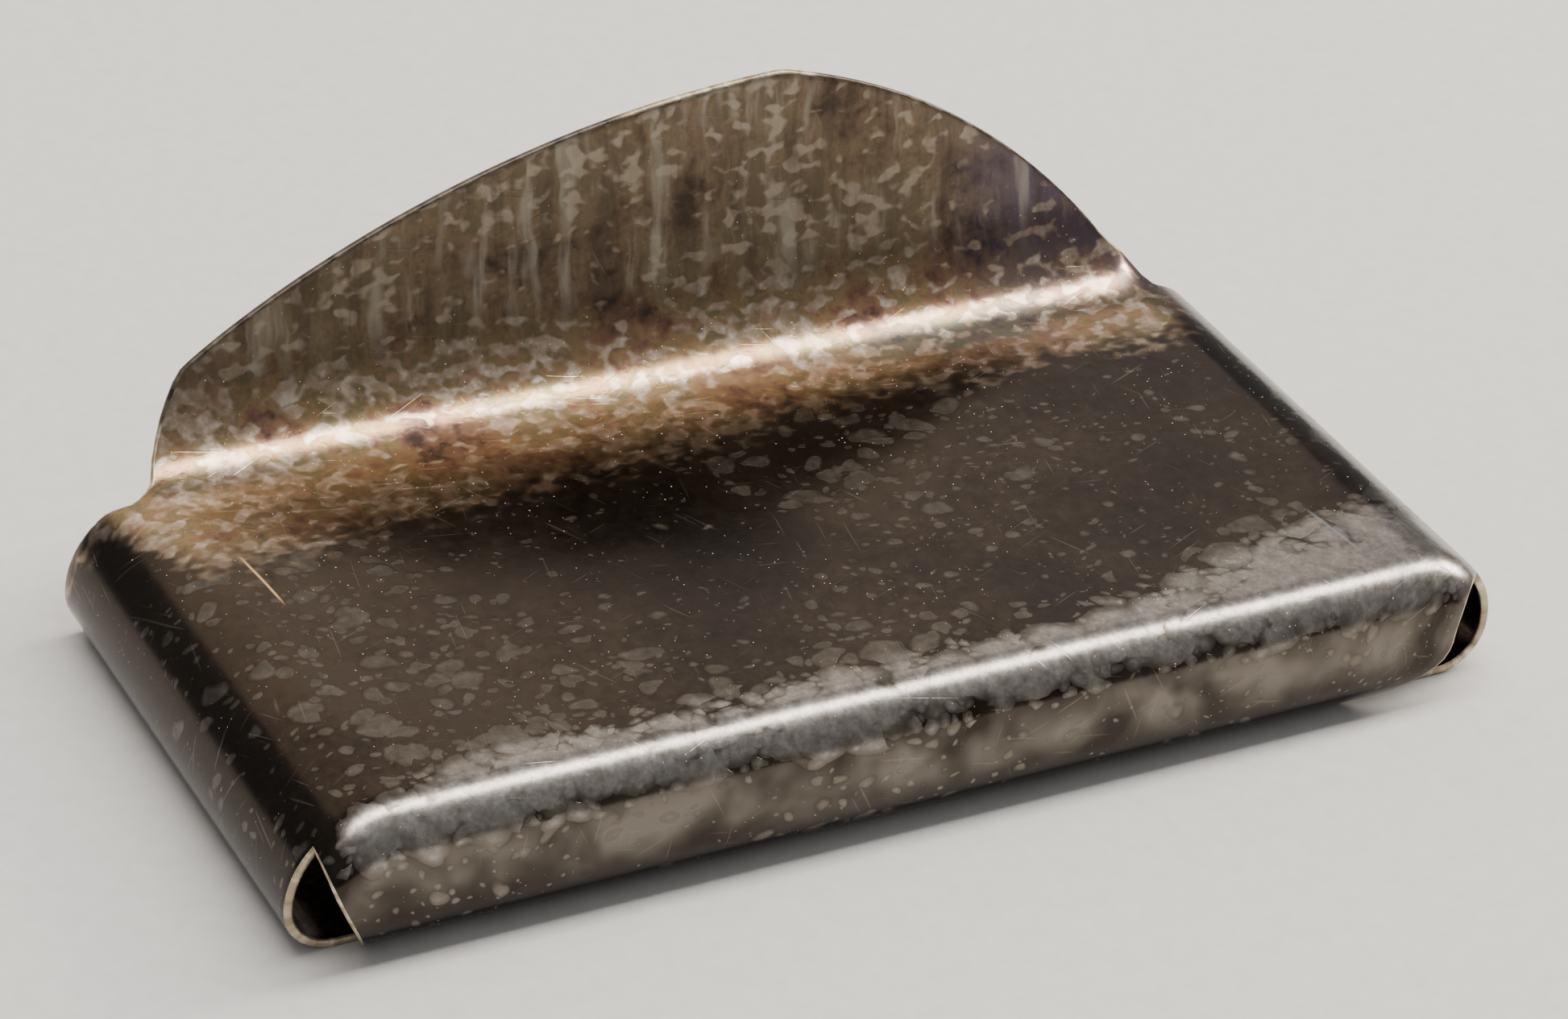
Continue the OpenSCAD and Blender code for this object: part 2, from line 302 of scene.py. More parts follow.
def cover_grid():
    """The outer skin as a grid of points, with the sheet's own coordinates, and its quads.
    The front flange's rows and the lip's rows have only the columns inside the split."""
    middle = steps(-SPLIT_S, SPLIT_S)
    outer = steps(SPLIT_S, EDGE_S)[1:]
    columns = np.concatenate([-outer[::-1], middle, outer])
    first, last = len(outer), len(outer) + len(middle) - 1
    bend_y = FRONT_Y + FRONT_BEND_R
    flange_end = bend_y - (2 * FRONT_ARC + FRONT_WALL + HEM_W)
    notch_t = bend_y - NOTCH_A
    flange_rows = steps(flange_end, notch_t)[:-1]
    main_rows = steps(notch_t, REAR_Y)
    lip_shares = np.linspace(0, 1, LIP_ROWS + 1)[1:]
    rows = []
    for t in flange_rows:
        rows.append((range(first, last + 1), lambda s, t=t: t))
    for t in main_rows:
        def along_main(s, share=(t - notch_t) / (REAR_Y - notch_t)):
            return notch_t + (rear_line(side_section(s)[0]) - notch_t) * share
        rows.append((range(len(columns)), along_main))
    for share in lip_shares:
        def along_lip(s, share=share):
            x = side_section(s)[0]
            return rear_line(x) + (sheet_end(x) - rear_line(x)) * share
        rows.append((range(first + 1, last), along_lip))
    index = -np.ones((len(rows), len(columns)), int)
    points, sheet = [], []
    for i, (inside, along) in enumerate(rows):
        for j in inside:
            index[i, j] = len(points)
            t = along(columns[j])
            points.append(cover_point(columns[j], t))
            sheet.append((columns[j], t))
    quads = []
    for i in range(len(rows) - 1):
        for j in range(len(columns) - 1):
            corners = [index[i, j], index[i, j + 1], index[i + 1, j + 1], index[i + 1, j]]
            if min(corners) >= 0:
                quads.append([int(c) for c in corners])
    return np.array(points, float), np.array(sheet, float), quads


def skin_normals(points, quads):
    normals = np.zeros_like(points)
    corner = points[np.array(quads)]
    face = np.cross(corner[:, 2] - corner[:, 0], corner[:, 3] - corner[:, 1])
    for k in range(4):
        np.add.at(normals, np.array(quads)[:, k], face)
    return normals / np.linalg.norm(normals, axis=1)[:, None]


def boundary_loop(quads):
    """The skin's boundary edges, in the direction that their faces run."""
    seen = set()
    for quad in quads:
        for k in range(4):
            seen.add((quad[k], quad[(k + 1) % 4]))
    following = {a: b for a, b in seen if (b, a) not in seen}
    start = next(iter(sorted(following)))
    loop = [start]
    while following[loop[-1]] != start:
        loop.append(following[loop[-1]])
    return loop


def build_cover(name):
    """The cover as a closed sheet: outer skin, inner skin and a rounded cut edge."""
    points, sheet, quads = cover_grid()
    normals = skin_normals(points, quads)
    count = len(points)
    inner = points - normals * SHEET_T
    loop = boundary_loop(quads)
    ring = points[loop]
    ahead = np.roll(ring, -1, axis=0) - ring
    ahead /= np.linalg.norm(ahead, axis=1)[:, None]
    out = np.cross(ahead, normals[loop])
    out = out + np.roll(out, 1, axis=0)
    out -= normals[loop] * np.sum(out * normals[loop], axis=1)[:, None]
    out /= np.linalg.norm(out, axis=1)[:, None]
    all_points = [points, inner]
    for k in range(1, RIM_RINGS + 1):
        angle = math.pi * k / (RIM_RINGS + 1)
        depth = SHEET_T * (1 - math.cos(angle)) / 2
        all_points.append(ring - normals[loop] * depth + out * RIM_BULGE * math.sin(angle) ** 0.6)
    faces = list(quads)
    faces += [[c + count for c in reversed(q)] for q in quads]
    material = [0] * len(quads) + [1] * len(quads)
    length = len(loop)
    rings = [list(loop)]
    rings += [[2 * count + k * length + i for i in range(length)] for k in range(RIM_RINGS)]
    rings += [[c + count for c in loop]]
    for near, far in zip(rings[:-1], rings[1:]):
        for i in range(length):
            j = (i + 1) % length
            faces.append([near[j], near[i], far[i], far[j]])
            material.append(2)
    vertices = np.concatenate(all_points) * MM
    mesh = bpy.data.meshes.new(name)
    mesh.from_pydata([tuple(v) for v in vertices], [], faces)
    mesh.polygons.foreach_set("material_index", material)
    mesh.polygons.foreach_set("use_smooth", [True] * len(faces))
    chart = np.concatenate([sheet, sheet] + [sheet[loop]] * RIM_RINGS) / CHART_SCALE
    layer = mesh.uv_layers.new(name="sheet")
    corners = np.empty(len(mesh.loops), int)
    mesh.loops.foreach_get("vertex_index", corners)
    layer.data.foreach_set("uv", chart[corners].ravel())
    mesh.update()
    thing = bpy.data.objects.new(name, mesh)
    bpy.context.collection.objects.link(thing)
    return thing


# --------------------------------------------------------------- materials

class Shader:
    """A node material with short calls for the nodes that are used often."""

    def __init__(self, name):
        self.material = bpy.data.materials.new(name)
        self.material.use_nodes = True
        self.tree = self.material.node_tree
        self.main = self.tree.nodes["Principled BSDF"]

    def add(self, kind, **settings):
        made = self.tree.nodes.new(kind)
        for key, value in settings.items():
            setattr(made, key, value)
        return made

    def put(self, socket, value):
        if isinstance(value, bpy.types.NodeSocket):
            self.tree.links.new(value, socket)
        elif isinstance(value, (tuple, list)) and len(value) == 3 and socket.type == "RGBA":
            socket.default_value = (*value, 1)
        else:
            socket.default_value = value

    def math(self, operation, a, b=0.0, c=0.0):
        made = self.add("ShaderNodeMath", operation=operation)
        for socket, value in zip(made.inputs, (a, b, c)):
            self.put(socket, value)
        return made.outputs[0]

    def scaled(self, vector, scale):
        made = self.add("ShaderNodeMapping")
        self.put(made.inputs["Vector"], vector)
        made.inputs["Scale"].default_value = scale
        return made.outputs[0]

    def turned(self, vector, degrees, scale):
        """The vector turned in its own plane, and then scaled."""
        made = self.add("ShaderNodeMapping")
        self.put(made.inputs["Vector"], vector)
        made.inputs["Rotation"].default_value = (0, 0, math.radians(degrees))
        return self.scaled(made.outputs[0], scale)

    def noise(self, vector, scale, detail=2.0, roughness=0.5, distortion=0.0, shift=0.0):
        made = self.add("ShaderNodeTexNoise", noise_dimensions="4D")
        self.put(made.inputs["Vector"], vector)
        made.inputs["W"].default_value = shift
        made.inputs["Scale"].default_value = scale
        made.inputs["Detail"].default_value = detail
        made.inputs["Roughness"].default_value = roughness
        made.inputs["Distortion"].default_value = distortion
        return made.outputs["Fac"]

    def cells(self, vector, scale, soft=0.0):
        """Distance to the nearest cell's point, and a random number for that cell."""
        made = self.add("ShaderNodeTexVoronoi", voronoi_dimensions="2D")
        if soft:
            made.feature = "SMOOTH_F1"
            made.inputs["Smoothness"].default_value = soft
        self.put(made.inputs["Vector"], vector)
        made.inputs["Scale"].default_value = scale
        split = self.add("ShaderNodeSeparateColor")
        self.put(split.inputs[0], made.outputs["Color"])
        return made.outputs["Distance"], split.outputs[0]

    def warped(self, vector, scale, reach, detail=2.0):
        """The vector pushed about in its plane by up to half the reach."""
        made = self.add("ShaderNodeTexNoise", noise_dimensions="2D")
        self.put(made.inputs["Vector"], vector)
        made.inputs["Scale"].default_value = scale
        made.inputs["Detail"].default_value = detail
        push = self.add("ShaderNodeVectorMath", operation="MULTIPLY_ADD")
        self.put(push.inputs[0], made.outputs["Color"])
        push.inputs[1].default_value = (reach, reach, 0)
        self.put(push.inputs[2], vector)
        return push.outputs[0]

    def step(self, value, low, high, start=0.0, end=1.0):
        """start below low, end above high, and a smooth change between them."""
        made = self.add("ShaderNodeMapRange", interpolation_type="SMOOTHSTEP")
        for socket, v in zip(made.inputs, (value, low, high, start, end)):
            self.put(socket, v)
        return made.outputs[0]

    def ramp(self, value, stops):
        made = self.add("ShaderNodeValToRGB")
        self.put(made.inputs[0], value)
        elements = made.color_ramp.elements
        while len(elements) < len(stops):
            elements.new(0.5)
        for element, (place, colour) in zip(elements, stops):
            element.position = place
            element.color = (*colour, 1)
        return made.outputs[0]

    def mix(self, share, a, b):
        made = self.add("ShaderNodeMix", data_type="RGBA")
        self.put(made.inputs["Factor"], share)
        self.put(made.inputs["A"], a)
        self.put(made.inputs["B"], b)
        return made.outputs["Result"]

    def blend(self, share, a, b):
        made = self.add("ShaderNodeMix", data_type="FLOAT")
        self.put(made.inputs["Factor"], share)
        self.put(made.inputs["A"], a)
        self.put(made.inputs["B"], b)
        return made.outputs["Result"]

    def bump(self, height, distance, strength=1.0):
        made = self.add("ShaderNodeBump")
        self.put(made.inputs["Height"], height)
        made.inputs["Distance"].default_value = distance
        made.inputs["Strength"].default_value = strength
        self.put(self.main.inputs["Normal"], made.outputs[0])


def sheet_coordinates(shader):
    """The sheet's own coordinates in millimetres: the vector, the distance across and the
    distance along."""
    source = shader.add("ShaderNodeUVMap", uv_map="sheet")
    vector = shader.scaled(source.outputs[0], (CHART_SCALE, CHART_SCALE, CHART_SCALE))
    split = shader.add("ShaderNodeSeparateXYZ")
    shader.put(split.inputs[0], vector)
    return vector, split.outputs[0], split.outputs[1]


def scratches(shader, vector, shift):
    """Fine hairlines in a few directions: 1 on a hairline."""
    total = 0.0
    for k, angle in enumerate((12, -24, 63, 101)):
        stretched = shader.turned(vector, angle, (0.22, 5.0, 1))
        line = shader.step(shader.noise(stretched, 1.0, 1.0, 0.5, 0.0, shift + k), 0.69, 0.74)
        total = shader.math("MAXIMUM", total, line)
    return total


def within(shader, value, low, high, soft):
    """1 between low and high, with soft ends."""
    return shader.math("MULTIPLY", shader.step(value, low, low + soft),
                       shader.step(value, high - soft, high, 1.0, 0.0))


def round_spots(shader, vector, density):
    """Above 0 inside round spots of three sizes, which grow and merge with the density."""
    wandering = shader.warped(shader.warped(vector, 0.35, 1.2, 1.0), 1.3, 0.34, 1.0)
    field = -1.0
    for scale, size, keep in ((0.46, 0.30, 0.30), (0.85, 0.36, 0.28), (1.7, 0.34, 0.35)):
        distance, chance = shader.cells(shader.scaled(wandering, (0.85, 1.12, 1)), scale)
        radius = shader.math("ADD", shader.step(chance, keep, 1.0, -0.14, size), density)
        field = shader.math("MAXIMUM", field, shader.math("SUBTRACT", radius, distance))
    return field


def crease_line(shader, across, along, x, slope, low, high, width):
    """A short fine line along a crease in the sheet."""
    drift = shader.math("MULTIPLY_ADD", along, slope, across)
    gap = shader.math("ABSOLUTE", shader.math("SUBTRACT", drift, x))
    return shader.math("MULTIPLY", shader.step(gap, 0, width, 1.0, 0.0),
                       within(shader, along, low, high, 1.2))


def sheet_regions(sh, across, along):
    """Masks, 0 to 1, that say where on the sheet a point lies."""
    on_sides = sh.step(sh.math("ABSOLUTE", across), FLAT_HALF + 0.5, FLAT_HALF + 4.0)
    left_side = sh.step(across, -26.0, -6.0, 1.0, 0.0)
    warm_reach = sh.math("ADD", along, sh.step(across, -24.0, 14.0, 2.6, 0.0))
    warm_reach = sh.math("MULTIPLY_ADD", on_sides, -6.0, warm_reach)
    climb = sh.step(across, 6.0, 27.0, 0.0, 3.4)
    fall = sh.step(across, -30.0, -19.0, -2.2, 0.0)
    front_reach = sh.math("SUBTRACT", sh.math("SUBTRACT", along, climb), fall)
    return SimpleNamespace(
        on_sides=on_sides,
        left_side=left_side,
        on_lip=sh.step(warm_reach, REAR_Y - 8.5, REAR_Y - 1.0),
        upper_lip=sh.step(along, REAR_Y + 1.5, REAR_Y + 5.0),
        front_wall=sh.step(along, FRONT_Y - 1.6, FRONT_Y + 1.0, 1.0, 0.0),
        front_band=sh.step(front_reach, FRONT_Y + 0.6, FRONT_Y + 7.5, 1.0, 0.0),
        violet=sh.math("MULTIPLY", sh.step(across, 14.0, 22.0),
                       sh.step(along, REAR_Y - 3, REAR_Y + 1)),
        teal=sh.math("MULTIPLY", within(sh, along, REAR_Y - 3.2, REAR_Y + 0.2, 1.2),
                     within(sh, across, 8.0, 21.0, 3.0)))


def flat_tarnish_and_painted_light(sh, vector, along, where, tex):
    """The dark film of the flat, sides and front, with islands of thinner film that close
    up into one clean band along the front roll, plus painted shade on the side rolls and
    the front wall's foot and a painted reflection on the left rear of the flat. Returns
    the colour, islands and band."""
    density = sh.math("POWER", where.front_band, 2.0)
    density = sh.math("ADD", density, sh.step(tex.cloud, 0.38, 0.62, -0.16, 0.09))
    density = sh.math("MULTIPLY_ADD", where.left_side, 0.05, density)
    density = sh.math("MULTIPLY_ADD", where.front_wall, -1.0, density)
    density = sh.math("MULTIPLY_ADD", where.on_sides, -0.12, density)
    field = round_spots(sh, vector, density)
    islands = sh.step(field, -0.03, 0.10)
    rims = sh.math("SUBTRACT", sh.step(field, -0.10, -0.01), islands)
    clean = sh.math("MULTIPLY", sh.step(field, 0.05, 0.60), sh.step(where.front_band, 0.40, 0.80))

    tone = sh.math("ADD", sh.math("MULTIPLY", tex.cloud, 0.65),
                   sh.math("MULTIPLY", tex.grain, 0.35))
    deep = sh.ramp(tone, [(0.34, (0.012, 0.010, 0.010)), (0.47, (0.030, 0.022, 0.017)),
                          (0.58, (0.052, 0.038, 0.027)), (0.70, (0.036, 0.035, 0.031))])
    thin = sh.ramp(tex.grain, [(0.30, (0.055, 0.046, 0.036)), (0.50, (0.092, 0.080, 0.066)),
                               (0.68, (0.130, 0.116, 0.100))])
    # Painted reflection: a warm brown glow on the left rear of the flat, where the lip's fillet is
    # mirrored.
    painted_fillet_reflection = sh.math("MULTIPLY", where.left_side, sh.step(along, -12.0, 4.0))
    film = sh.mix(sh.math("MULTIPLY", painted_fillet_reflection, 0.30), deep, (0.10, 0.074, 0.054))
    # Painted shade: the side rolls' film is pulled towards an even dark brown.
    film = sh.mix(sh.math("MULTIPLY", where.on_sides, 0.6), film, (0.022, 0.019, 0.015))
    stains = sh.noise(vector, 0.32, 2.0, 0.5, 0.3, 8.8)
    wall_film = sh.ramp(stains, [(0.36, (0.040, 0.033, 0.027)), (0.50, (0.095, 0.082, 0.068)),
                                 (0.64, (0.165, 0.148, 0.125))])
    # Painted shade: the front wall darkens towards its foot, where it curls under towards the
    # floor.
    wall_foot_shade = sh.step(along, FRONT_Y - 4.6, FRONT_Y - 2.2, 1.0, 0.0)
    wall_film = sh.mix(wall_foot_shade, wall_film, (0.030, 0.025, 0.021))
    film = sh.mix(where.front_wall, film, wall_film)
    film = sh.mix(sh.math("MULTIPLY", rims, 0.20), film, (0.010, 0.009, 0.009))
    isle = sh.mix(where.front_wall, thin, (0.150, 0.130, 0.105))
    polish = sh.math("ADD", sh.math("MULTIPLY", tex.grain, 0.6), sh.math("MULTIPLY", tex.fine, 0.4))
    silver = sh.ramp(polish, [(0.32, (0.17, 0.152, 0.135)), (0.50, (0.29, 0.270, 0.250)),
                              (0.68, (0.44, 0.415, 0.385))])
    isle = sh.mix(clean, isle, silver)
    return sh.mix(sh.math("MULTIPLY", islands, 0.92), film, isle), islands, clean


def lip_tarnish(sh, vector, where, tex):
    """The lip's warm film, crowded with pale specks that darken towards the rim. Returns
    the colour, and the speck level that also breaks up the film's lower border."""
    hue = sh.math("ADD", sh.math("MULTIPLY", tex.patch, 0.7), sh.math("MULTIPLY", tex.grain, 0.3))
    warm = sh.ramp(hue, [(0.36, (0.085, 0.055, 0.048)), (0.43, (0.23, 0.130, 0.085)),
                         (0.49, (0.30, 0.200, 0.105)), (0.53, (0.19, 0.155, 0.085)),
                         (0.59, (0.36, 0.225, 0.155)), (0.67, (0.20, 0.150, 0.115))])
    pale = sh.ramp(tex.grain, [(0.32, (0.32, 0.225, 0.150)), (0.50, (0.46, 0.350, 0.255)),
                               (0.66, (0.66, 0.57, 0.48))])
    upper = sh.ramp(hue, [(0.38, (0.060, 0.046, 0.036)), (0.50, (0.16, 0.122, 0.083)),
                          (0.58, (0.105, 0.086, 0.060)), (0.68, (0.20, 0.150, 0.110))])
    violet = sh.ramp(tex.patch, [(0.36, (0.040, 0.050, 0.100)), (0.5, (0.085, 0.070, 0.125)),
                                 (0.62, (0.14, 0.085, 0.075))])
    film = sh.mix(sh.math("MULTIPLY", where.upper_lip, 0.85), warm, upper)
    film = sh.mix(sh.math("MULTIPLY", where.violet, 0.70), film, violet)
    film = sh.mix(sh.math("MULTIPLY", where.teal, 0.40), film, (0.08, 0.15, 0.16))
    wandering = sh.warped(vector, 0.9, 0.5, 1.0)
    level = sh.noise(sh.scaled(wandering, (0.95, 1.40, 1)), 1.0, 1.0, 0.45, 0.0, 13.0)
    level = sh.math("ADD", level, sh.step(tex.patch, 0.38, 0.62, -0.07, 0.07))
    level = sh.math("MULTIPLY_ADD", where.upper_lip, -0.06, level)
    level = sh.math("MULTIPLY_ADD", where.violet, -0.05, level)
    specks = sh.step(level, 0.48, 0.60)
    pale = sh.mix(sh.math("MULTIPLY", where.upper_lip, 0.75), pale, (0.27, 0.235, 0.185))
    return sh.mix(sh.math("MULTIPLY", specks, 0.85), film, pale), level


def painted_reflection_streaks(sh, vector, where, colour):
    """The colour with painted reflections on the upper lip: pale and dark upright streaks."""
    wandering = sh.scaled(sh.warped(vector, 0.4, 0.8), (0.85, 0.13, 1))
    reflection_streak = sh.noise(wandering, 1.0, 3.0, 0.6, 0.0, 2.2)
    pale = sh.math("MULTIPLY", sh.step(reflection_streak, 0.50, 0.68), where.upper_lip)
    colour = sh.mix(sh.math("MULTIPLY", pale, 0.55), colour, (0.38, 0.35, 0.29))
    dark = sh.math("MULTIPLY", sh.step(reflection_streak, 0.36, 0.48, 1.0, 0.0), where.upper_lip)
    return sh.mix(sh.math("MULTIPLY", dark, 0.45), colour, (0.060, 0.048, 0.038))


def dust_specks(sh, vector, patch):
    """1 on small specks of dust of two sizes, which gather in patches."""
    dust = 0.0
    for scale, size, keep in ((1.3, 0.030, 0.86), (2.9, 0.050, 0.94)):
        distance, chance = sh.cells(vector, scale)
        speck = sh.math("MULTIPLY", sh.step(distance, size, size * 1.6, 1.0, 0.0),
                        sh.step(chance, keep, keep + 0.02))
        dust = sh.math("MAXIMUM", dust, speck)
    return sh.math("MULTIPLY", dust, sh.step(patch, 0.44, 0.60, 0.1, 0.9))


def tarnished_silver():
    """Polished silver under a dark film, with islands, iridescence, dust and hairlines, and painted
    shade, painted reflections and painted highlight lines.
    """
    sh = Shader("tarnished_silver")
    vector, across, along = sheet_coordinates(sh)
    tex = SimpleNamespace(cloud=sh.noise(vector, 0.075, 3.0, 0.55, 0.3, 1.5),
                          patch=sh.noise(vector, 0.20, 4.0, 0.6, 0.4, 4.2),
                          grain=sh.noise(vector, 1.3, 4.0, 0.65, 0.2, 9.3),
                          fine=sh.noise(vector, 5.0, 3.0, 0.6, 0.0, 3.3))
    where = sheet_regions(sh, across, along)
    colour, islands, clean = flat_tarnish_and_painted_light(sh, vector, along, where, tex)
    lip_colour, speck_level = lip_tarnish(sh, vector, where, tex)
    unevenness = sh.math("MULTIPLY", sh.math("SUBTRACT", speck_level, 0.5), 1.2)
    lip_edge = sh.step(sh.math("ADD", where.on_lip, unevenness), 0.30, 0.75)
    colour = sh.mix(sh.math("MULTIPLY", lip_edge, where.on_lip), colour, lip_colour)
    # Painted reflections: pale and dark upright streaks on the upper lip.
    colour = painted_reflection_streaks(sh, vector, where, colour)

    # Painted highlight along the left crease (orange-white) and painted reflection along the right
    # crease (bluish).
    left_crease_highlight = crease_line(sh, across, along, -23.95, 0.10, 0.2, 4.8, 0.10)
    right_crease_reflection = crease_line(sh, across, along, 21.6, 0.12, -13.0, -8.4, 0.14)
    colour = sh.mix(left_crease_highlight, colour, (0.85, 0.55, 0.30))
    colour = sh.mix(sh.math("MULTIPLY", right_crease_reflection, 0.6), colour, (0.30, 0.38, 0.44))
    lines = scratches(sh, vector, 20.0)
    colour = sh.mix(sh.math("MULTIPLY", lines, 0.10), colour, (0.5, 0.45, 0.38))
    dust = dust_specks(sh, vector, tex.patch)
    colour = sh.mix(dust, colour, (0.62, 0.54, 0.44))

    sh.put(sh.main.inputs["Base Color"], colour)
    sh.put(sh.main.inputs["Metallic"], sh.blend(dust, 1.0, 0.0))
    rough = sh.blend(islands, 0.17, 0.27)
    rough = sh.blend(where.on_lip, rough, sh.blend(where.upper_lip, 0.24, 0.32))
    rough = sh.blend(clean, rough, 0.25)
    rough = sh.math("MULTIPLY_ADD", sh.math("SUBTRACT", tex.grain, 0.5), 0.14, rough)
    sh.put(sh.main.inputs["Roughness"], sh.blend(dust, rough, 0.8))
    height = sh.math("MULTIPLY_ADD", islands, 0.5, sh.math("MULTIPLY", tex.grain, 0.5))
    height = sh.math("MULTIPLY_ADD", tex.fine, 0.25, height)
    height = sh.math("MULTIPLY_ADD", lines, -0.6, height)
    height = sh.math("MULTIPLY_ADD", dust, 3.0, height)
    sh.bump(height, 0.005 * MM)
    return sh.material


def cut_edge():
    """The sheet's cut edge: dark on the lip but for a polished stretch, and bare elsewhere."""
    sh = Shader("cut_edge")
    vector, across, along = sheet_coordinates(sh)
    grain = sh.noise(vector, 1.6, 3.0, 0.6, 0.2, 7.0)
    bare = sh.ramp(grain, [(0.32, (0.22, 0.17, 0.11)), (0.55, (0.50, 0.42, 0.29)),
                           (0.70, (0.82, 0.74, 0.58))])
    dark = sh.ramp(grain, [(0.35, (0.035, 0.028, 0.022)), (0.65, (0.16, 0.13, 0.10))])
    on_rim = sh.step(along, REAR_Y + 0.8, REAR_Y + 2.2)
    polished = within(sh, across, -1.6, 9.2, 0.8)
    colour = sh.mix(sh.math("MULTIPLY", on_rim, sh.math("SUBTRACT", 1.0, polished)), bare, dark)
    sh.put(sh.main.inputs["Base Color"], colour)
    sh.put(sh.main.inputs["Metallic"], 0.7)
    sh.put(sh.main.inputs["Roughness"], sh.step(grain, 0.3, 0.7, 0.34, 0.50))
    return sh.material


def inner_silver():
    """The sheet's inner side: dark, smooth and less marked."""
    sh = Shader("inner_silver")
    vector, across, along = sheet_coordinates(sh)
    cloud = sh.noise(vector, 0.15, 4.0, 0.6, 0.5, 12.0)
    grain = sh.noise(vector, 1.4, 3.0, 0.6, 0.1, 15.0)
    colour = sh.ramp(cloud, [(0.32, (0.035, 0.030, 0.028)), (0.5, (0.11, 0.09, 0.07)),
                             (0.66, (0.24, 0.20, 0.16))])
    sh.put(sh.main.inputs["Base Color"], colour)
    sh.put(sh.main.inputs["Metallic"], 1.0)
    sh.put(sh.main.inputs["Roughness"], sh.step(grain, 0.3, 0.7, 0.20, 0.36))
    sh.bump(sh.math("ADD", grain, scratches(sh, vector, 30.0)), 0.003 * MM)
    return sh.material


def worn_metal(name, dark, bright, rough, brushed=(1, 1, 1), scale=900.0):
    """Satin metal with darker clouds and a fine grain, which may run one way."""
    sh = Shader(name)
    place = sh.add("ShaderNodeTexCoord").outputs["Object"]
    cloud = sh.noise(place, scale * 0.25, 4.0, 0.6, 0.4, 2.0)
    grain = sh.noise(sh.scaled(place, brushed), scale * 2.2, 3.0, 0.6, 0.0, 5.0)
    level = sh.math("ADD", sh.math("MULTIPLY", cloud, 0.65), sh.math("MULTIPLY", grain, 0.35))
    sh.put(sh.main.inputs["Base Color"], sh.ramp(level, [(0.34, dark), (0.62, bright)]))
    sh.put(sh.main.inputs["Metallic"], 1.0)
    sh.put(sh.main.inputs["Roughness"], sh.step(level, 0.3, 0.7, rough + 0.1, rough - 0.06))
    sh.bump(grain, 0.004 * MM)
    return sh.material


def floor_paint():
    """Matt pale paint with a faint grain."""
    sh = Shader("floor_paint")
    place = sh.add("ShaderNodeTexCoord").outputs["Object"]
    tone = sh.noise(place, 900.0, 3.0, 0.6)
    colour = sh.ramp(tone, [(0.3, (0.60, 0.59, 0.58)), (0.7, (0.66, 0.65, 0.64))])
    sh.put(sh.main.inputs["Base Color"], colour)
    sh.put(sh.main.inputs["Roughness"], 0.85)
    return sh.material


# ------------------------------------------------------------ the object

def put_material(thing, *materials):
    if len(thing.data.materials):
        thing.data.materials.clear()
    for material in materials:
        thing.data.materials.append(material)


cover = build_cover("formed_cover")
put_material(cover, tarnished_silver(), inner_silver(), cut_edge())
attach(cover, "cover")
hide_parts("clip_body")


def sweep_wire(name, path, radius, sides=12):
    """A round wire along a path, with flat capped ends."""
    path = [Vector(p) for p in path]
    rings = []
    side = Vector((1, 0, 0))
    for i, point in enumerate(path):
        ahead = (path[min(i + 1, len(path) - 1)] - path[max(i - 1, 0)]).normalized()
        side = (side - ahead * side.dot(ahead)).normalized()
        up = ahead.cross(side)
        rings.append([point + radius * (math.cos(2 * math.pi * k / sides) * side
                                        + math.sin(2 * math.pi * k / sides) * up)
                      for k in range(sides)])
    vertices = [v for ring in rings for v in ring]
    faces = []
    for i in range(len(rings) - 1):
        for k in range(sides):
            a, b = i * sides + k, i * sides + (k + 1) % sides
            faces.append([a, b, b + sides, a + sides])
    faces.append(list(reversed(range(sides))))
    faces.append([(len(rings) - 1) * sides + k for k in range(sides)])
    mesh = bpy.data.meshes.new(name)
    mesh.from_pydata([tuple(v * MM) for v in vertices], [], faces)
    for face in mesh.polygons:
        face.use_smooth = len(face.vertices) == 4
    mesh.update()
    thing = bpy.data.objects.new(name, mesh)
    bpy.context.collection.objects.link(thing)
    return thing


def spring_path(side, lo, hi, axis_y, axis_z):
    """The coil and its two legs inside the spring's own CAD box; side is 1 on the right."""
    inner_x, outer_x = (lo.x, hi.x) if side > 0 else (hi.x, lo.x)
    start_x, end_x = inner_x + side * WIRE_R, outer_x - side * WIRE_R
    count = 170
    coil = []
    for i in range(count + 1):
        angle = math.pi / 2 + 2 * math.pi * COIL_TURNS * i / count
        coil.append(Vector((start_x + (end_x - start_x) * i / count,
                            axis_y + COIL_R * math.cos(angle),
                            axis_z + COIL_R * math.sin(angle))))
    rise = math.radians(17)
    leaf_leg = [coil[0] + 3.2 * share * Vector((0, math.cos(rise), math.sin(rise)))
                for share in (1, 0.75, 0.5, 0.25)]
    wall_leg = [coil[-1] + 1.5 * share * Vector((0, 0.05, 1)) for share in (0.25, 0.5, 0.75, 1)]
    return leaf_leg + coil + wall_leg


pin_lo, pin_hi = (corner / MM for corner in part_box("hinge_pin"))
AXIS_Y, AXIS_Z = (pin_lo.y + pin_hi.y) / 2, (pin_lo.z + pin_hi.z) / 2
SPRING_STEEL = worn_metal("spring_steel", (0.20, 0.19, 0.19), (0.46, 0.45, 0.44), 0.26)
for side, node in ((-1, "left_torsion_spring"), (1, "right_torsion_spring")):
    lo, hi = (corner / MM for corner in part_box(node))
    wire = sweep_wire(node.replace("torsion_spring", "spring_wire"),
                      spring_path(side, lo, hi, AXIS_Y, AXIS_Z), WIRE_R)
    put_material(wire, SPRING_STEEL)
    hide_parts(node)
    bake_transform(wire)

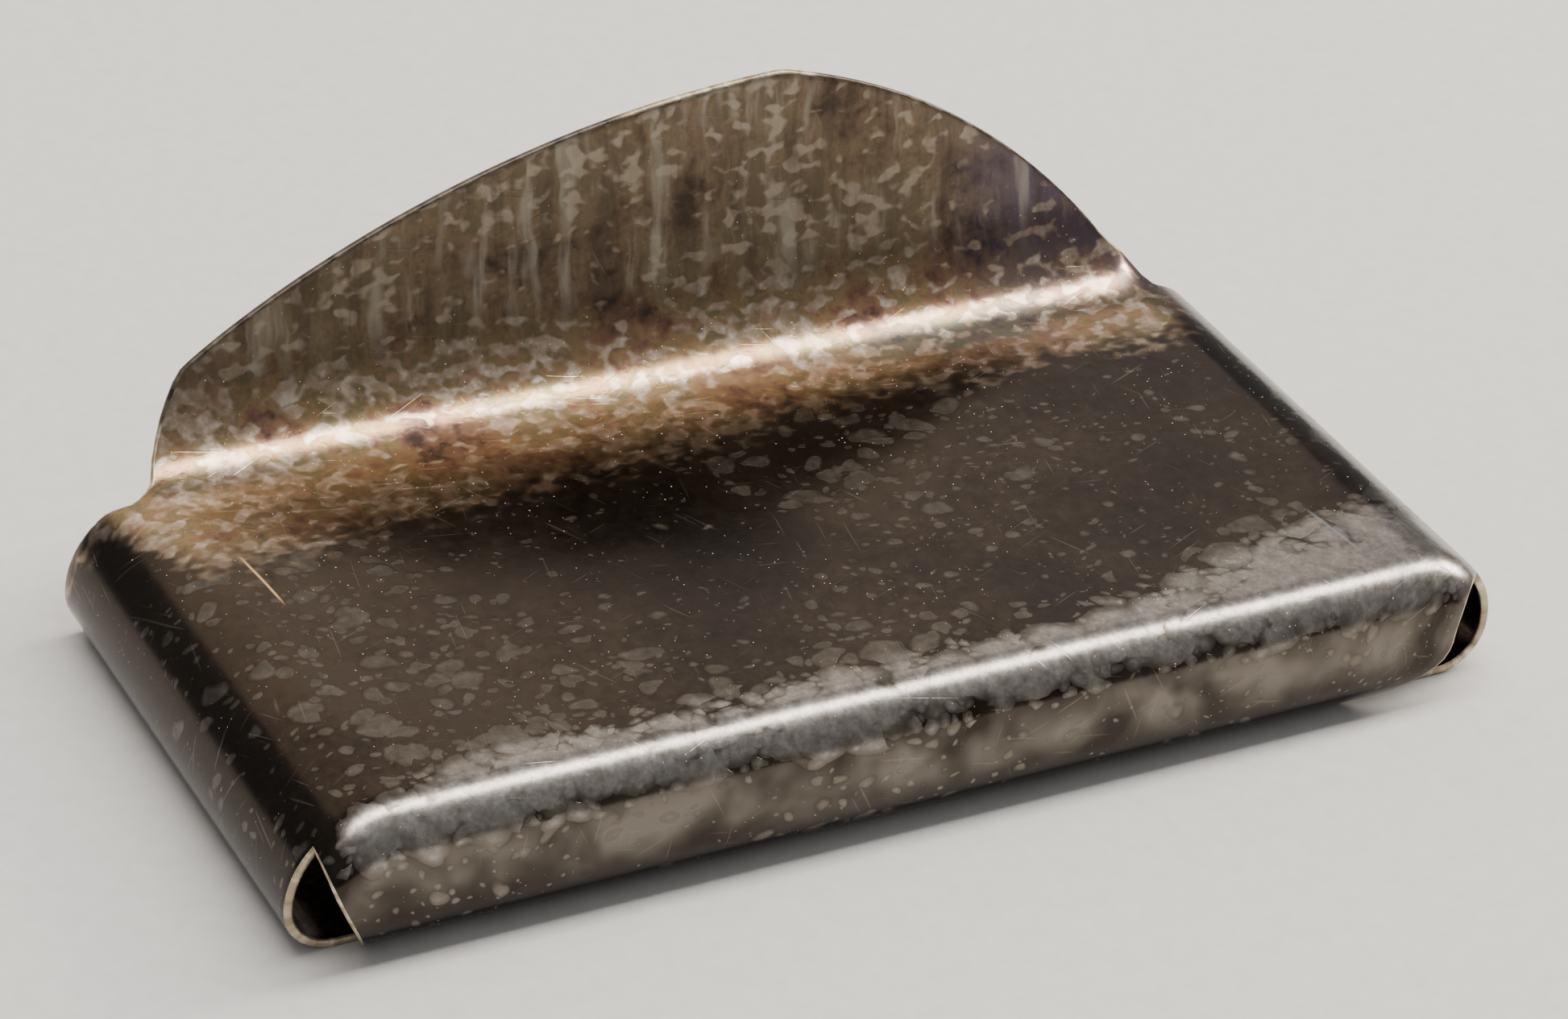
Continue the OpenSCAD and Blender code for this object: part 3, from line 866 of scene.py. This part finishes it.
LEAF_SILVER = worn_metal("leaf_silver", (0.16, 0.135, 0.11), (0.52, 0.49, 0.45), 0.30, (0.06, 1, 1))
HINGE_SILVER = worn_metal("hinge_silver", (0.12, 0.10, 0.08), (0.46, 0.42, 0.37), 0.30)
PIN_STEEL = worn_metal("pin_steel", (0.30, 0.29, 0.29), (0.60, 0.60, 0.61), 0.22, (0.1, 1, 1))
for node, material, slot_name in (("pressure_leaf", LEAF_SILVER, "leaf_silver"),
                                  ("leaf_knuckle", HINGE_SILVER, "hinge_silver"),
                                  ("left_hinge_knuckle", HINGE_SILVER, "hinge_silver"),
                                  ("right_hinge_knuckle", HINGE_SILVER, "hinge_silver"),
                                  ("hinge_pin", PIN_STEEL, "pin_steel")):
    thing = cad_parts[node]
    put_material(thing, material)
    bevel = thing.modifiers.new("edge", "BEVEL")
    bevel.width = 0.07 * MM
    bevel.segments = 2
    bevel.limit_method = "ANGLE"
    bevel.angle_limit = math.radians(40)

# ------------------------------------------------------ floor, light, camera

bpy.ops.mesh.primitive_plane_add(size=14, location=(0, 0, 0))
floor = bpy.context.object
floor.name = "floor"
put_material(floor, floor_paint())


def area_light(name, centre, target, width, depth, power, colour):
    """A rectangular light that faces the target, with its width along X."""
    data = bpy.data.lights.new(name, "AREA")
    data.shape = "RECTANGLE"
    data.size, data.size_y = width, depth
    data.energy = power
    data.color = colour
    lamp = bpy.data.objects.new(name, data)
    bpy.context.collection.objects.link(lamp)
    toward = (Vector(target) - Vector(centre)).normalized()
    along_x = (Vector((1, 0, 0)) - toward * toward.x).normalized()
    axes = Matrix((along_x, along_x.cross(toward), -toward)).transposed()
    lamp.matrix_world = Matrix.Translation(centre) @ axes.to_4x4()
    return lamp


area_light("overhead_strip", (0.14, 0.02, 0.48), (0, 0, 0.005), 0.90, 0.13, 5.6, (1.0, 0.95, 0.88))
area_light("right_key", (0.55, 0.05, 0.30), (0, 0, 0.005), 0.16, 0.16, 2.2, (1.0, 0.88, 0.72))
area_light("back_fill", (0.06, 0.64, 0.46), (0, 0, 0.01), 0.90, 0.45, 1.3, (1.0, 0.86, 0.72))

world = bpy.data.worlds.new("studio")
bpy.context.scene.world = world
world.use_nodes = True
tree = world.node_tree
background = tree.nodes["Background"]
direction = tree.nodes.new("ShaderNodeTexCoord")
split = tree.nodes.new("ShaderNodeSeparateXYZ")
tree.links.new(direction.outputs["Generated"], split.inputs[0])
fade = tree.nodes.new("ShaderNodeValToRGB")
tree.links.new(split.outputs[2], fade.inputs[0])
fade.color_ramp.elements[0].position = 0.0
fade.color_ramp.elements[0].color = (0.30, 0.29, 0.28, 1)
fade.color_ramp.elements[1].position = 0.9
fade.color_ramp.elements[1].color = (0.62, 0.62, 0.62, 1)
tree.links.new(fade.outputs[0], background.inputs[0])
background.inputs[1].default_value = 0.8

camera_data = bpy.data.cameras.new("camera")
camera_data.lens = 113.5
camera_data.sensor_width = 36
camera_data.clip_start = 0.01
camera = bpy.data.objects.new("camera", camera_data)
bpy.context.collection.objects.link(camera)
CAMERA_AT = Vector((-0.0966, -0.1599, 0.12775))
LOOK = Vector((0.4345, 0.7180, -0.5438)).normalized()
UP = Vector((0.1888, 0.5178, 0.8344))
right = LOOK.cross(UP).normalized()
up = right.cross(LOOK)
turn = Matrix((right, up, -LOOK)).transposed().to_4x4()
camera.matrix_world = Matrix.Translation(CAMERA_AT) @ turn
bpy.context.scene.camera = camera
bpy.context.scene.view_settings.view_transform = "AgX"
